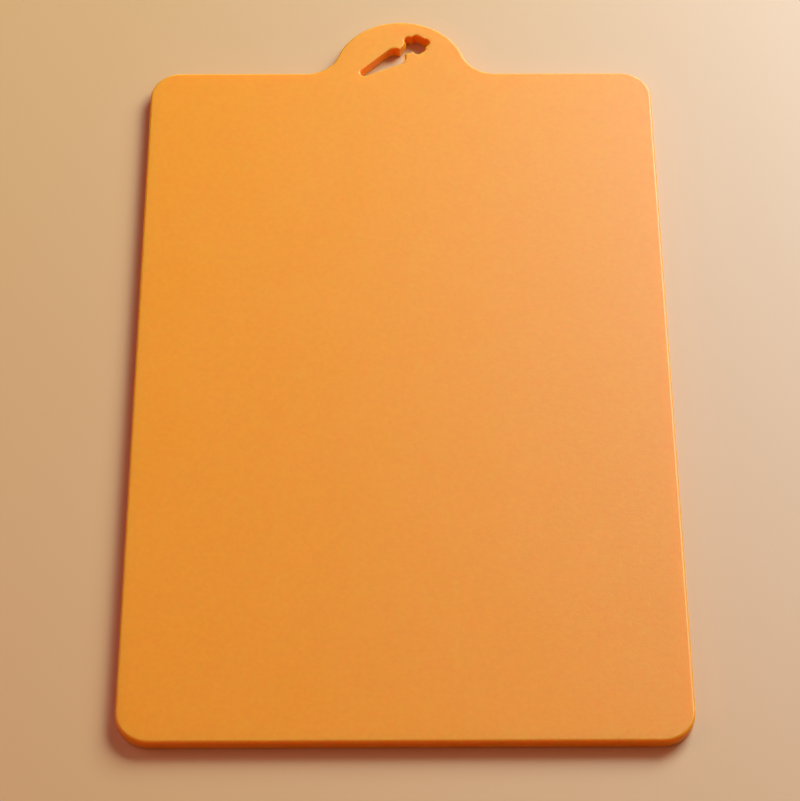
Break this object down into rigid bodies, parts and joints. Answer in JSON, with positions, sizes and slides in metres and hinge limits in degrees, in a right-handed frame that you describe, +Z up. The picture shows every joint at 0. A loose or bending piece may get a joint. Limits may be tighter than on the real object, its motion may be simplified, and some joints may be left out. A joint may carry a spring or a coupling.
{
  "type": "flexible cutting mat",
  "caption": "Flat soft-plastic cutting mat with rounded corners and rims, and a round hanging tab with a carrot-shaped through hole.",
  "frame": {"origin": "centre of the mat's outline including the tab, on the underside that lies on the worktop", "axes": "+Z up out of the cutting face, +Y along the length towards the hanging tab, +X across the width to the right"},
  "size_m": [0.25, 0.408, 0.0064],
  "materials": {
    "orange_plastic": "satin with a fine moulded grain"
  },
  "bodies": {
    "root": {"cutting_mat": "orange_plastic"}
  },
  "joints": []
}
